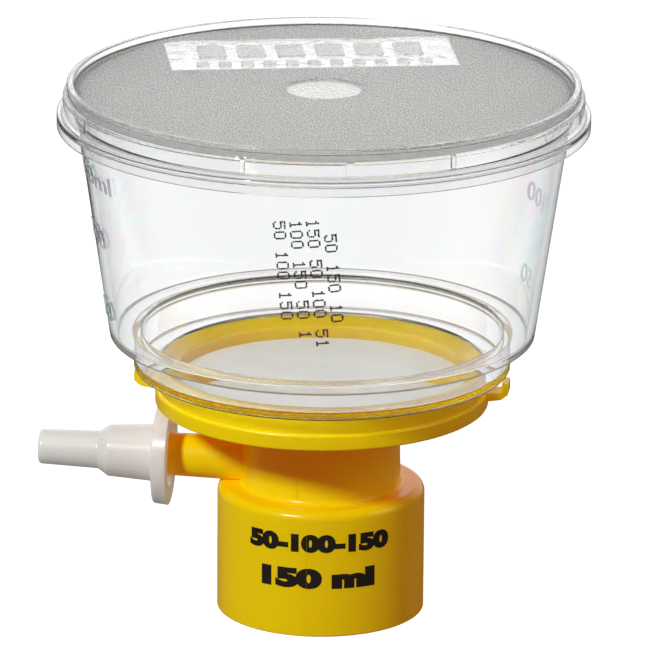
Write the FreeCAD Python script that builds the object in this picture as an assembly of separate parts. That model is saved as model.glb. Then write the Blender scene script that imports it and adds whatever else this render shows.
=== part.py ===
"""Bottle-top vacuum filtration unit: a lidded clear chamber welded onto a threaded base with a side arm.

Frame, in millimetres: the origin is the centre of the neck socket's mouth, +Z runs up the unit's
axis to the lid, and the side arm points along -X.
"""
import FreeCAD, Part
import math
import os

# ---- neck socket and collar (base moulding)
SOCKET_R = 16.6            # wall behind the thread of a 33 mm bottle neck
SOCKET_DEPTH = 19.3        # mouth to the gasket's face
COLLAR_WALL = 1.5
COLLAR_ROOF = 1.8
COLLAR_ROUND = 1.6
GASKET_T = 1.6
GASKET_LAND = 0.7          # how far the gasket's pocket is smaller than the socket
GASKET_CLEAR = 0.1         # gasket to its pocket, at the outer edge
GASKET_LIP = 0.6           # gasket's inner edge beyond the column's bore

# ---- column and drip tube (base moulding)
COLUMN_R = 13.9            # where it stands on the collar
COLUMN_H = 16.1            # collar's roof to the underside of the flange
COLUMN_DRAFT = 1.4         # degrees
COLUMN_WALL = 1.6
COLUMN_FOOT_ROUND = 0.8
COLUMN_HEAD_ROUND = 1.5
DRIP_BORE_R = 3.4
DRIP_WALL = 1.2
DRIP_TIP_ABOVE_ROOF = 0.6  # tip above the gasket pocket's ceiling

# ---- side arm (base moulding)
ARM_Z = 26.0               # height of its axis at the unit's axis
ARM_TILT = 1.0             # degrees, rising outwards
ARM_ROOT_R = 3.95          # where it leaves the column
ARM_DRAFT = 0.9            # degrees
ARM_REACH = 36.3           # from the unit's axis to the arm's end
ARM_BORE_R = 2.1

# ---- membrane and its support
VIEW_R = 25.4              # clear opening over the membrane
MEMBRANE_GRIP = 0.5        # membrane's edge held under the chamber's lip
MEMBRANE_T = 0.15
SEAT_H = 0.7               # membrane's seat above the flange
SEAT_W = 1.0               # seat's width inside the clear opening
WELL_DEPTH = 1.0           # support plate below the seat, at its edge
WELL_FALL = 0.8            # further fall of the plate to the drain
WELL_PLATE = 1.5
RIB_COUNT = 12
RIB_W = 0.8
RIB_GAP_TO_DRAIN = 1.2

# ---- flange and its ears (base moulding)
FLANGE_PLATE = 1.5
FLANGE_DEPTH = 2.9         # outer rim, top to bottom
FLANGE_RIM = 1.3
FLANGE_MARGIN = 0.5        # flange beyond the upstand
FLANGE_ROUND = 0.6
UPSTAND_T = 2.45
UPSTAND_H = 3.9            # land that the chamber's floor is welded to
UPSTAND_LAND = 0.6         # land's width, from the upstand's outer edge
UPSTAND_FALL = 1.15        # slope from the land down to the inner edge
EAR_REACH = 3.7            # beyond the flange's edge
EAR_W = 4.0
EAR_T = 1.5
EAR_DROP = 1.0             # underside's rise from root to tip
EAR_LIP = 1.2
EAR_LIP_H = 2.0            # tip above the flange
EAR_EMBED = 0.9
EAR_ROUND = 0.5

# ---- clear chamber
JOINT_CLEAR = 0.05         # between the base's upstand and the chamber's lip
LIP_T = 0.6                # chamber's lip that holds the membrane down
LIP_TOP = 3.1              # lip's top edge above the flange
FLOOR_T = 1.0              # chamber's floor above the upstand's land
FLOOR_SLOPE_W = 2.4        # width of the slope down to the lip
FLOOR_SLOPE_DROP = 0.35    # slope's top edge below the floor
FOOT_STEP = 4.2            # foot beyond the upstand
FOOT_DROP = 0.3            # foot's edge below the floor's underside
FOOT_H = 5.8
FOOT_WALL = 1.3
SHOULDER_W = 4.12          # wall beyond the foot, at the shoulder's underside
WALL_T = 1.25
WALL_H = 42.7              # shoulder's underside to the rim
WALL_TAPER = 8.25          # degrees from upright
SHOULDER_ROUND = 0.6
SHOULDER_FLOOR_ROUND = 1.0
LEDGE_DROP = 2.7           # ledge's top below the rim
LEDGE_T = 1.0
LEDGE_W = 3.35             # ledge beyond the wall
SKIRT_T = 0.8
SKIRT_H = 2.55             # ledge's top to its skirt's edge

# ---- lid
LID_T = 1.2
LID_SKIRT_T = 0.85
LID_LEDGE_GAP = 0.3        # skirt's edge above the chamber's ledge
LID_RING_SET_IN = 0.65     # stacking ring inside the skirt's outer face
LID_RING_T = 1.2
LID_RING_H = 1.25
LID_TURN = 11.8            # degrees about Z, as the lid happens to sit
LID_RIB_ANGLES = (23.7, 71.0)   # each side of the key and of the point across from it
LID_RIB_W = 0.7
LID_RIB_H = 0.7            # ribs stand inwards from the skirt
LID_RIB_GAP = 0.35         # ribs to the chamber's rim
LID_KEY_W = 1.3            # one wider rib marks the lid's front
LID_KEY_ANGLE = -90        # degrees, before the lid is turned
DIMPLE_R = 6.8
DIMPLE_DEPTH = 0.35
PANEL_SIZE = (50.2, 19.7)
PANEL_Y = 23.6
PANEL_DEPTH = 0.15
RELIEF_H = 0.3
RELIEF_ROUND = 0.6
RELIEF_ROWS = ((25.6, 7.6, 4.8, 6, 6.9), (17.1, 2.8, 2.2, 11, 3.9))   # y, height, width, count, pitch

# ---- tubing adapter
ADAPTER_START = 26.4       # inner face of its flange, from the unit's axis
ADAPTER_FLANGE_W = 3.1     # flange beyond its mouth
ADAPTER_FLANGE_T = 2.6
ADAPTER_FLANGE_DRAFT = 0.25
ADAPTER_MOUTH_W = 2.15     # mouth beyond the arm
ADAPTER_MOUTH_DEPTH = 1.8
ADAPTER_ROOT_WALL = 1.23   # round the arm, at the flange
ADAPTER_END_WALL = 0.85    # round the arm's end
ADAPTER_BODY_L = 8.3
ADAPTER_CONE_L = 1.8
ADAPTER_STEM_R = 3.3
ADAPTER_TIP_R = 3.0
ADAPTER_STEM_L = 10.5
ADAPTER_BORE_R = 1.9
ADAPTER_FIT = 0.06         # running clearance on the arm
ADAPTER_END_GAP = 0.4      # arm's end to the socket's floor
PLUG_L = 8.0
PLUG_INSET = 1.0           # plug's outer end inside the arm
PLUG_CLEAR = 0.05

EDGE = 0.3                 # small moulded edge rounding
FINE = 0.15                # rounding of thin lips

# ---- heights and radii that follow
POCKET_Z = SOCKET_DEPTH + GASKET_T
POCKET_R = SOCKET_R - GASKET_LAND
COLLAR_R = SOCKET_R + COLLAR_WALL
COLLAR_H = POCKET_Z + COLLAR_ROOF
COLUMN_TOP_R = COLUMN_R - COLUMN_H * math.tan(math.radians(COLUMN_DRAFT))
COLUMN_BORE_R = COLUMN_TOP_R - COLUMN_WALL
FLANGE_Z = COLLAR_H + COLUMN_H + FLANGE_PLATE
SEAT_Z = FLANGE_Z + SEAT_H
WELL_Z = SEAT_Z - WELL_DEPTH
DRAIN_Z = WELL_Z - WELL_FALL
MEMBRANE_R = VIEW_R + MEMBRANE_GRIP
LIP_R = VIEW_R + LIP_T
UPSTAND_R = LIP_R + JOINT_CLEAR
UPSTAND_OUTER_R = UPSTAND_R + UPSTAND_T
UPSTAND_Z = FLANGE_Z + UPSTAND_H
LAND_R = UPSTAND_OUTER_R - UPSTAND_LAND
FLANGE_R = UPSTAND_OUTER_R + FLANGE_MARGIN
FOOT_Z = UPSTAND_Z - FOOT_DROP
FOOT_R = UPSTAND_OUTER_R + FOOT_STEP
SHOULDER_Z = FOOT_Z + FOOT_H
RIM_Z = SHOULDER_Z + WALL_H
LEDGE_Z = RIM_Z - LEDGE_DROP


def wall_r(z):
    """Outer radius of the chamber's tapered wall at a height."""
    return FOOT_R + SHOULDER_W + (z - SHOULDER_Z) * math.tan(math.radians(WALL_TAPER))


LEDGE_R = wall_r(LEDGE_Z) + LEDGE_W
LID_BORE_R = wall_r(RIM_Z) + LID_RIB_GAP + LID_RIB_H
LID_R = LID_BORE_R + LID_SKIRT_T
LID_TOP = RIM_Z + LID_T


def side_view(u, v):
    """Point of a section drawn in the XZ plane."""
    return FreeCAD.Vector(u, 0, v)


def plan_view(u, v):
    """Point of an outline drawn in the XY plane."""
    return FreeCAD.Vector(u, v, 0)


def rounded_corner(before, here, after, radius):
    """Start, middle and end of the arc that rounds a corner, or the corner itself three times."""
    if radius == 0:
        return here, here, here
    back = (before - here).normalize()
    ahead = (after - here).normalize()
    half = back.getAngle(ahead) / 2
    inwards = (back + ahead).normalize()
    cut = radius / math.tan(half)
    middle = here + inwards * (radius / math.sin(half) - radius)
    return here + back * cut, middle, here + ahead * cut


def outline(corners, view=side_view):
    """Face inside a closed outline of corners (u, v) or (u, v, rounding radius)."""
    points = [view(corner[0], corner[1]) for corner in corners]
    radii = [corner[2] if len(corner) > 2 else 0 for corner in corners]
    arcs = []
    for i, here in enumerate(points):
        after = points[(i + 1) % len(points)]
        arcs.append(rounded_corner(points[i - 1], here, after, radii[i]))
    edges = []
    for i, (start, middle, end) in enumerate(arcs):
        edges.append(Part.LineSegment(arcs[i - 1][2], start).toShape())
        if radii[i] > 0:
            edges.append(Part.Arc(start, middle, end).toShape())
    return Part.Face(Part.Wire(edges))


def turned(corners):
    """Solid of revolution about Z from the corners of its section, radius first."""
    return outline(corners).revolve(FreeCAD.Vector(0, 0, 0), FreeCAD.Vector(0, 0, 1), 360)


def block(width, depth, low, high, x=0.0, y=0.0, rounding=0.0):
    """Upright block centred on (x, y), between two heights, with its upright edges rounded."""
    signs = ((-1, -1), (1, -1), (1, 1), (-1, 1))
    corners = [(x + a * width / 2, y + b * depth / 2, rounding) for a, b in signs]
    solid = outline(corners, plan_view).extrude(FreeCAD.Vector(0, 0, high - low))
    return solid.translated(FreeCAD.Vector(0, 0, low))


def about_axis(shape, degrees):
    """Copy of a shape turned about Z."""
    return shape.rotated(FreeCAD.Vector(0, 0, 0), FreeCAD.Vector(0, 0, 1), degrees)


def along_arm(shape):
    """Shape drawn along +Z, laid along the side arm from the unit's axis outwards."""
    tilt = math.radians(ARM_TILT)
    outwards = FreeCAD.Vector(-math.cos(tilt), 0, math.sin(tilt))
    turn = FreeCAD.Rotation(FreeCAD.Vector(0, 0, 1), outwards)
    placed = shape.copy()
    placed.Placement = FreeCAD.Placement(FreeCAD.Vector(0, 0, ARM_Z), turn)
    return placed


def arm_r(reach):
    """Outer radius of the side arm at a distance from the unit's axis."""
    return ARM_ROOT_R - (reach - COLUMN_R) * math.tan(math.radians(ARM_DRAFT))


def base_shell():
    """Collar, column, drip tube, support plate, flange and upstand, as one turned section."""
    well_edge_r = VIEW_R - SEAT_W
    drip_top = DRAIN_Z - WELL_PLATE
    drip_tip = POCKET_Z + DRIP_TIP_ABOVE_ROOF
    plate_under = FLANGE_Z - FLANGE_PLATE
    return turned([
        (DRIP_BORE_R, DRAIN_Z, EDGE),
        (well_edge_r, WELL_Z),
        (well_edge_r, SEAT_Z),
        (UPSTAND_R, SEAT_Z),
        (UPSTAND_R, UPSTAND_Z - UPSTAND_FALL, FINE),
        (LAND_R, UPSTAND_Z),
        (UPSTAND_OUTER_R, UPSTAND_Z),
        (UPSTAND_OUTER_R, FLANGE_Z),
        (FLANGE_R, FLANGE_Z, FLANGE_ROUND),
        (FLANGE_R, FLANGE_Z - FLANGE_DEPTH, EDGE),
        (FLANGE_R - FLANGE_RIM, FLANGE_Z - FLANGE_DEPTH, EDGE),
        (FLANGE_R - FLANGE_RIM, plate_under, EDGE),
        (COLUMN_TOP_R, plate_under, COLUMN_HEAD_ROUND),
        (COLUMN_R, COLLAR_H, COLUMN_FOOT_ROUND),
        (COLLAR_R, COLLAR_H, COLLAR_ROUND),
        (COLLAR_R, 0, EDGE),
        (SOCKET_R, 0),
        (SOCKET_R, SOCKET_DEPTH),
        (POCKET_R, SOCKET_DEPTH),
        (POCKET_R, POCKET_Z),
        (COLUMN_BORE_R, POCKET_Z, EDGE),
        (COLUMN_BORE_R, drip_top, EDGE),
        (DRIP_BORE_R + DRIP_WALL, drip_top, EDGE),
        (DRIP_BORE_R + DRIP_WALL, drip_tip, EDGE),
        (DRIP_BORE_R, drip_tip),
    ])


def support_rib(index):
    """One radial rib under the membrane, from near the drain to the seat."""
    inner = DRIP_BORE_R + RIB_GAP_TO_DRAIN
    outer = VIEW_R - SEAT_W / 2
    foot = (FLANGE_Z - FLANGE_PLATE + DRAIN_Z) / 2
    rib = block(outer - inner, RIB_W, foot, SEAT_Z, x=(inner + outer) / 2)
    return about_axis(rib, index * 360 / RIB_COUNT)


def ear(side):
    """Hooked ear on the flange's edge, on the +X side or the -X side."""
    tip = FLANGE_R + EAR_REACH
    under = FLANGE_Z - EAR_T
    section = outline([
        (FLANGE_R - EAR_EMBED, under),
        (tip - EAR_LIP, under + EAR_DROP / 2, EAR_LIP),
        (tip, under + EAR_DROP + EAR_ROUND, EAR_ROUND),
        (tip, FLANGE_Z + EAR_LIP_H, EAR_ROUND),
        (tip - EAR_LIP, FLANGE_Z + EAR_LIP_H, EAR_ROUND),
        (tip - EAR_LIP, FLANGE_Z + EAR_ROUND / 2, EAR_ROUND),
        (FLANGE_R - EAR_EMBED, FLANGE_Z),
    ])
    hook = section.extrude(FreeCAD.Vector(0, EAR_W, 0)).translated(FreeCAD.Vector(0, -EAR_W / 2, 0))
    return about_axis(hook, 0 if side > 0 else 180)


def base():
    """The whole base moulding, with its side arm and bore."""
    bite = COLUMN_BORE_R + COLUMN_WALL / 4
    arm = along_arm(turned([
        (0, bite),
        (arm_r(bite), bite),
        (arm_r(ARM_REACH), ARM_REACH, EDGE),
        (0, ARM_REACH),
    ]))
    bore_start = COLUMN_BORE_R - COLUMN_WALL
    arm_bore = along_arm(turned([
        (0, bore_start),
        (ARM_BORE_R, bore_start),
        (ARM_BORE_R, ARM_REACH + EDGE),
        (0, ARM_REACH + EDGE),
    ]))
    body = base_shell().fuse([arm, ear(1), ear(-1)] + [support_rib(i) for i in range(RIB_COUNT)])
    return body.cut(arm_bore).removeSplitter()


def neck_gasket():
    """Flat elastomer ring that seals on the bottle's lip."""
    inner = COLUMN_BORE_R + GASKET_LIP
    outer = POCKET_R - GASKET_CLEAR
    return turned([
        (inner, SOCKET_DEPTH, EDGE),
        (outer, SOCKET_DEPTH, EDGE),
        (outer, POCKET_Z),
        (inner, POCKET_Z),
    ])


def membrane():
    """Thin filter disc on its seat."""
    top = SEAT_Z + MEMBRANE_T
    return turned([(0, SEAT_Z), (MEMBRANE_R, SEAT_Z), (MEMBRANE_R, top), (0, top)])


def chamber():
    """Clear upper chamber, one moulding from its lip to its rim."""
    inner_wall = WALL_T / math.cos(math.radians(WALL_TAPER))
    shoulder_floor = SHOULDER_Z + FOOT_WALL
    foot_floor = UPSTAND_Z + FLOOR_T
    foot_inner_r = FOOT_R - FOOT_WALL
    slope_r = VIEW_R + FLOOR_SLOPE_W
    ledge_under = LEDGE_Z - LEDGE_T
    skirt_edge = LEDGE_Z - SKIRT_H
    return turned([
        (wall_r(RIM_Z), RIM_Z, EDGE),
        (wall_r(LEDGE_Z), LEDGE_Z, EDGE),
        (LEDGE_R, LEDGE_Z, EDGE),
        (LEDGE_R, skirt_edge, FINE),
        (LEDGE_R - SKIRT_T, skirt_edge, FINE),
        (LEDGE_R - SKIRT_T, ledge_under, EDGE),
        (wall_r(ledge_under), ledge_under, EDGE),
        (wall_r(SHOULDER_Z), SHOULDER_Z, SHOULDER_ROUND),
        (FOOT_R, SHOULDER_Z, EDGE),
        (FOOT_R, FOOT_Z, EDGE),
        (foot_inner_r, FOOT_Z, FINE),
        (foot_inner_r, UPSTAND_Z),
        (LAND_R, UPSTAND_Z),
        (LIP_R, UPSTAND_Z - UPSTAND_FALL + JOINT_CLEAR),
        (LIP_R, SEAT_Z + MEMBRANE_T),
        (VIEW_R, SEAT_Z + MEMBRANE_T),
        (VIEW_R, FLANGE_Z + LIP_TOP, FINE),
        (slope_r, foot_floor - FLOOR_SLOPE_DROP, EDGE),
        (foot_inner_r, foot_floor, FOOT_WALL / 2),
        (foot_inner_r, shoulder_floor, EDGE * 3),
        (wall_r(shoulder_floor) - inner_wall, shoulder_floor, SHOULDER_FLOOR_ROUND),
        (wall_r(RIM_Z) - inner_wall, RIM_Z, EDGE),
    ])


def lid_blank():
    """Lid without its ribs and panel."""
    edge = LEDGE_Z + LID_LEDGE_GAP
    ring_r = LID_R - LID_RING_SET_IN
    return turned([
        (0, RIM_Z),
        (LID_BORE_R, RIM_Z, EDGE),
        (LID_BORE_R, edge, FINE),
        (LID_R, edge, FINE),
        (LID_R, RIM_Z + EDGE, EDGE),
        (ring_r, RIM_Z + 2 * EDGE, FINE),
        (ring_r, LID_TOP + LID_RING_H, EDGE),
        (ring_r - LID_RING_T, LID_TOP + LID_RING_H, EDGE),
        (ring_r - LID_RING_T, LID_TOP, EDGE),
        (DIMPLE_R, LID_TOP, EDGE),
        (DIMPLE_R - DIMPLE_DEPTH, LID_TOP - DIMPLE_DEPTH, EDGE),
        (0, LID_TOP - DIMPLE_DEPTH),
    ])


def lid_rib(angle, width):
    """Upright centring rib inside the lid's skirt."""
    inner = LID_BORE_R - LID_RIB_H
    outer = LID_BORE_R + LID_SKIRT_T / 2
    low = LEDGE_Z + LID_LEDGE_GAP + EDGE
    return about_axis(block(outer - inner, width, low, RIM_Z + EDGE, x=(inner + outer) / 2), angle)


def relief_row(y, height, width, count, pitch):
    """Row of plain raised blocks on the lid's polished panel."""
    floor = LID_TOP - PANEL_DEPTH
    first = -(count - 1) * pitch / 2
    spots = [first + i * pitch for i in range(count)]
    low = floor - EDGE
    return [block(width, height, low, floor + RELIEF_H, x, y, RELIEF_ROUND) for x in spots]


def lid():
    """Lift-off lid, with centring ribs, a stacking ring and a polished panel."""
    ribs = [lid_rib(LID_KEY_ANGLE, LID_KEY_W)]
    for across in (0, 180):
        for offset in LID_RIB_ANGLES:
            ribs.append(lid_rib(LID_KEY_ANGLE + across - offset, LID_RIB_W))
            ribs.append(lid_rib(LID_KEY_ANGLE + across + offset, LID_RIB_W))
    panel = block(*PANEL_SIZE, LID_TOP - PANEL_DEPTH, LID_TOP + EDGE, y=PANEL_Y)
    relief = [piece for row in RELIEF_ROWS for piece in relief_row(*row)]
    body = lid_blank().cut(panel).fuse(ribs + relief).removeSplitter()
    return about_axis(body, LID_TURN)


def tubing_adapter():
    """Push-on hose adapter: flange, socket for the arm, and stepped stem."""
    flange_end = ADAPTER_START + ADAPTER_FLANGE_T
    body_end = flange_end + ADAPTER_BODY_L
    stem_start = body_end + ADAPTER_CONE_L
    tip = stem_start + ADAPTER_STEM_L
    mouth_end = ADAPTER_START + ADAPTER_MOUTH_DEPTH
    socket_end = ARM_REACH + ADAPTER_END_GAP
    socket_end_r = arm_r(socket_end) + ADAPTER_FIT
    mouth_r = arm_r(ADAPTER_START) + ADAPTER_MOUTH_W
    flange_r = mouth_r + ADAPTER_FLANGE_W
    root_r = arm_r(flange_end) + ADAPTER_FIT + ADAPTER_ROOT_WALL
    return along_arm(turned([
        (mouth_r, ADAPTER_START),
        (flange_r, ADAPTER_START, FINE),
        (flange_r - ADAPTER_FLANGE_DRAFT, flange_end, EDGE),
        (root_r, flange_end, EDGE),
        (socket_end_r + ADAPTER_END_WALL, body_end, 2 * EDGE),
        (ADAPTER_STEM_R, stem_start, 2 * EDGE),
        (ADAPTER_TIP_R, tip, 2 * EDGE),
        (ADAPTER_BORE_R, tip, FINE),
        (ADAPTER_BORE_R, socket_end),
        (socket_end_r, socket_end),
        (arm_r(mouth_end) + ADAPTER_FIT, mouth_end),
    ]))


def cotton_plug():
    """Loose cotton plug in the arm's bore."""
    outer = ARM_REACH - PLUG_INSET
    radius = ARM_BORE_R - PLUG_CLEAR
    return along_arm(turned([
        (0, outer - PLUG_L),
        (radius, outer - PLUG_L, EDGE),
        (radius, outer, EDGE),
        (0, outer),
    ]))


PIECES = {
    "threaded_base": base,
    "neck_gasket": neck_gasket,
    "filter_membrane": membrane,
    "upper_chamber": chamber,
    "lid": lid,
    "tubing_adapter": tubing_adapter,
    "cotton_plug": cotton_plug,
}

os.makedirs("parts", exist_ok=True)
for name, make in PIECES.items():
    shape = make()
    shape.exportStep("parts/" + name + ".step")
    print(name, "solids", len(shape.Solids), "volume", round(shape.Volume, 1), "valid", shape.isValid())
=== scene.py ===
import math
import random

import bmesh
import bpy
from mathutils import Matrix, Vector, noise


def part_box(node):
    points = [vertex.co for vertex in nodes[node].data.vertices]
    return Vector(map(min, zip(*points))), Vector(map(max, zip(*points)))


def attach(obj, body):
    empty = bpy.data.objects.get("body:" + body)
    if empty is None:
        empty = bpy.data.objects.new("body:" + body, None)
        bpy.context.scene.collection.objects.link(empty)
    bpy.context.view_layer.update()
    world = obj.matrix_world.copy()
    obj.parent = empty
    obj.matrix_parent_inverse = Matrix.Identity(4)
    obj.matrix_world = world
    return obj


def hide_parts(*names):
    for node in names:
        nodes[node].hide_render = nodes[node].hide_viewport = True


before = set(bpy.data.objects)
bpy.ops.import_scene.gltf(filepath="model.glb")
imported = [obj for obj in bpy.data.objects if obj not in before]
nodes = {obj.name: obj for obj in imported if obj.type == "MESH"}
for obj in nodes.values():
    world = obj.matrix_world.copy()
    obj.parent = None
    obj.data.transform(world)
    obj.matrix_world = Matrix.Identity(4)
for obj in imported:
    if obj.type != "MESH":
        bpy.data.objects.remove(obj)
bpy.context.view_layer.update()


# ---- Studio. A pale seamless floor under soft light, and a key light at the upper left that throws
# the flange's shadow across the column. Light that came straight through clear plastic finds white
# all round; mirrored light finds darkness beside the camera, which gives the plastic its edges.
CAMERA_PLACE = (0.1259, -1.1934, 0.4184)
CAMERA_HEADING = 6.0        # degrees about Z, from facing +Y
CAMERA_PITCH = 17.02        # degrees below the horizon
CAMERA_ROLL = 0.46          # degrees
CAMERA_CLIP = (0.05, 50.0)
LENS = 400.5
LIT_POINT = Vector((0, 0, 0.045))
LIGHTS = (("key", (-0.44, -0.72, 0.59), 1.5, 0.18, 16.0),     # direction, distance, size and watts
          ("overhead", (-0.15, -0.3, 1.0), 1.4, 0.6, 1.8),
          ("side", (1.0, -0.1, 0.45), 1.4, 0.7, 3.0))
WHITE = (1, 1, 1, 1)
WHITE_LEVEL = 1.08          # glow that looks white
STRAIGHT_LEVEL = 0.9        # glow all round for light that came straight through clear plastic
MIRRORED_LEVEL = 0.02       # and for any other light
BACKDROP = (0.58, 0.90)     # Y of the directions where the white backdrop starts, and is full
FLOOR_R = 6.0
FLOOR_GREY = (0.12, 0.12, 0.12, 1)
FLOOR_LEVEL = 0.03          # the floor's glow wherever it does not look white
PATCH_X = (0.40, 0.20)      # metres from the middle where the patch that mirrored light finds white
PATCH_Y = (-0.14, -0.03)    # starts, and is full


def node_maker(tree):
    """A function that adds one node and fills its sockets with values or other nodes' outputs."""
    def add(kind, inputs=None, **settings):
        prefix = "Node" if kind in ("GroupInput", "GroupOutput") else "ShaderNode"
        made = tree.nodes.new(prefix + kind)
        for name, value in settings.items():
            setattr(made, name, value)
        for name, value in (inputs or {}).items():
            if isinstance(value, bpy.types.NodeSocket):
                tree.links.new(value, made.inputs[name])
            else:
                made.inputs[name].default_value = value
        return made
    return add


def plain_nodes(owner):
    """Empties an owner's node tree and gives back the maker of its nodes."""
    owner.use_nodes = True
    owner.node_tree.nodes.clear()
    return node_maker(owner.node_tree)


def new_material(name):
    """A material without nodes, and the maker of its nodes."""
    material = bpy.data.materials.new(name)
    return material, plain_nodes(material)


def maths(add, operation, *values, **settings):
    """Output of a Math node."""
    return add("Math", dict(enumerate(values)), operation=operation, **settings).outputs[0]


def ramp(add, value, start, end, low=0.0, high=1.0, smooth=False):
    """Output that goes from low to high while a value goes from start to end."""
    return add("MapRange", {"Value": value, "From Min": start, "From Max": end,
                            "To Min": low, "To Max": high},
               interpolation_type="SMOOTHSTEP" if smooth else "LINEAR").outputs["Result"]


def surfaced(add, inputs):
    """Ends a material with one Principled surface."""
    surface = add("BsdfPrincipled", inputs)
    add("OutputMaterial", {"Surface": surface.outputs["BSDF"]})


def ray_kinds(add):
    """Whether a ray is the camera's, is unmirrored, and comes unscattered out of clear plastic."""
    ray = add("LightPath").outputs
    unmirrored = maths(add, "LESS_THAN", ray["Glossy Depth"], 0.5)
    unscattered = maths(add, "LESS_THAN", ray["Diffuse Depth"], 0.5)
    return (ray["Is Camera Ray"], unmirrored,
            maths(add, "MULTIPLY", unscattered, ray["Is Transmission Ray"]))


def new_piece(name, mesh, material, body=None):
    """Puts a mesh in the scene as a smooth, named piece that rides on a body."""
    piece = bpy.data.objects.new(name, mesh)
    bpy.context.scene.collection.objects.link(piece)
    mesh.materials.clear()
    mesh.materials.append(material)
    mesh.polygons.foreach_set("use_smooth", [True] * len(mesh.polygons))
    if body:
        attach(piece, body)
    return piece


def area_light(name, towards, distance, size, energy):
    """Square soft light that faces the middle of the object."""
    data = bpy.data.lights.new(name, "AREA")
    data.size = size
    data.energy = energy
    light = bpy.data.objects.new(name, data)
    light.location = LIT_POINT + Vector(towards).normalized() * distance
    light.rotation_euler = (LIT_POINT - light.location).to_track_quat("-Z", "Y").to_euler()
    bpy.context.scene.collection.objects.link(light)


camera_data = bpy.data.cameras.new("camera")
camera_data.lens = LENS
camera_data.clip_start, camera_data.clip_end = CAMERA_CLIP
camera = bpy.data.objects.new("camera", camera_data)
heading = Matrix.Rotation(math.radians(CAMERA_HEADING), 4, "Z")
pitch = Matrix.Rotation(math.radians(90.0 - CAMERA_PITCH), 4, "X")
roll = Matrix.Rotation(math.radians(CAMERA_ROLL), 4, "Z")
camera.matrix_world = Matrix.Translation(CAMERA_PLACE) @ heading @ pitch @ roll
bpy.context.scene.collection.objects.link(camera)
bpy.context.scene.camera = camera
bpy.context.scene.view_settings.view_transform = "Standard"
cycles = bpy.context.scene.cycles
cycles.max_bounces = 32
cycles.transmission_bounces = 32
cycles.glossy_bounces = 16
cycles.transparent_max_bounces = 32

world = bpy.data.worlds.new("studio")
bpy.context.scene.world = world
add = plain_nodes(world)
direction = add("SeparateXYZ", {"Vector": add("TexCoord").outputs["Generated"]})
_, unmirrored, passing = ray_kinds(add)
straight = maths(add, "MULTIPLY", unmirrored, passing)
around = ramp(add, straight, 0.0, 1.0, MIRRORED_LEVEL, STRAIGHT_LEVEL)
backdrop = ramp(add, direction.outputs["Y"], *BACKDROP, around, WHITE_LEVEL, smooth=True)
glow = add("Background", {"Color": WHITE, "Strength": backdrop})
add("OutputWorld", {"Surface": glow.outputs["Background"]})

for light in LIGHTS:
    area_light(*light)

floor_mesh = bpy.data.meshes.new("floor")
shape = bmesh.new()
bmesh.ops.create_circle(shape, cap_ends=True, segments=96, radius=FLOOR_R)
shape.to_mesh(floor_mesh)
shape.free()
floor_paint, add = new_material("floor_paint")
place = add("SeparateXYZ", {"Vector": add("TexCoord").outputs["Object"]})
across = ramp(add, maths(add, "ABSOLUTE", place.outputs["X"]), *PATCH_X, smooth=True)
along = ramp(add, place.outputs["Y"], *PATCH_Y, smooth=True)
from_camera, unmirrored, passing = ray_kinds(add)
patch = maths(add, "MAXIMUM", maths(add, "MULTIPLY", across, along), unmirrored)
seen = maths(add, "MAXIMUM", from_camera, maths(add, "MULTIPLY", patch, passing))
surfaced(add, {"Base Color": FLOOR_GREY, "Roughness": 0.8, "Specular IOR Level": 0.0,
               "Emission Color": WHITE,
               "Emission Strength": ramp(add, seen, 0.0, 1.0, FLOOR_LEVEL, WHITE_LEVEL)})
new_piece("floor", floor_mesh, floor_paint)


# ---- Threaded base. One glossy opaque yellow polystyrene moulding: neck collar, column, side arm,
# drip tube, membrane support, flange and upstand. It is injection moulded, so its skin is faintly
# uneven and a fine seam shows where the mould's halves met.
MM = 0.001
COLLAR_R = 18.1
SOCKET_R = 16.6
COLUMN_LOW = (13.9, 22.7)      # radius and height of the column's foot
COLUMN_HIGH = (13.51, 38.8)
YELLOW = (0.84, 0.77, 0.001, 1)
YELLOW_DEEP = (0.80, 0.72, 0.001, 1)
PAINTED_RED_GLOW = (1.0, 0.02, 0.0, 1)     # painted red glow: emission that turns the yellow's shade orange
PAINTED_RED_GLOW_STRENGTH = 0.165
THREAD_LOW = 3.4
THREAD_TURNS = 2.4
THREAD_PITCH = 4.0
THREAD_STEPS = 96              # in one turn
THREAD_ROOT = (0.2, 1.1)       # the rib's foot: how far inside the wall, and half its width
THREAD_FADE = THREAD_STEPS / 12   # steps in which the rib grows, and runs out again
CREST_DEPTH = 1.1              # from the wall to the rib's crest
CREST_SUNK = 0.15              # the crest's place inside the wall where the rib runs out
CREST_BEVEL = 0.15             # from the crest's top to its shoulders
CREST_HALF = (0.5, 0.3)        # half the crest's width at its shoulders and at its top
COLUMN_SEAM_AZIMUTH = -11.3
COLUMN_SEAM_ENDS = (0.9, 1.7)  # left free at the column's foot and at its top
COLUMN_SEAM_STEPS = 16
COLLAR_SEAM_AZIMUTH = -1.7
COLLAR_SEAM_HEIGHTS = range(1, 21)
SEAM_ACROSS = 0.12
SEAM_T = 0.025                 # how far a seam stands out, and how far it reaches in


def blend(add, factor, first, second, kind="MIX"):
    """Colour between two colours."""
    return add("Mix", {"Factor": factor, "A": first, "B": second},
               data_type="RGBA", blend_type=kind).outputs["Result"]


def noise_value(add, place, scale, detail, **more):
    """Value of a noise texture; more holds its Roughness or Distortion."""
    return add("TexNoise", {"Vector": place, "Scale": scale, "Detail": detail, **more}).outputs["Fac"]


def bumped(add, height, strength, distance):
    """Normal of a surface that a height raises."""
    return add("Bump", {"Strength": strength, "Distance": distance, "Height": height}).outputs["Normal"]


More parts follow.
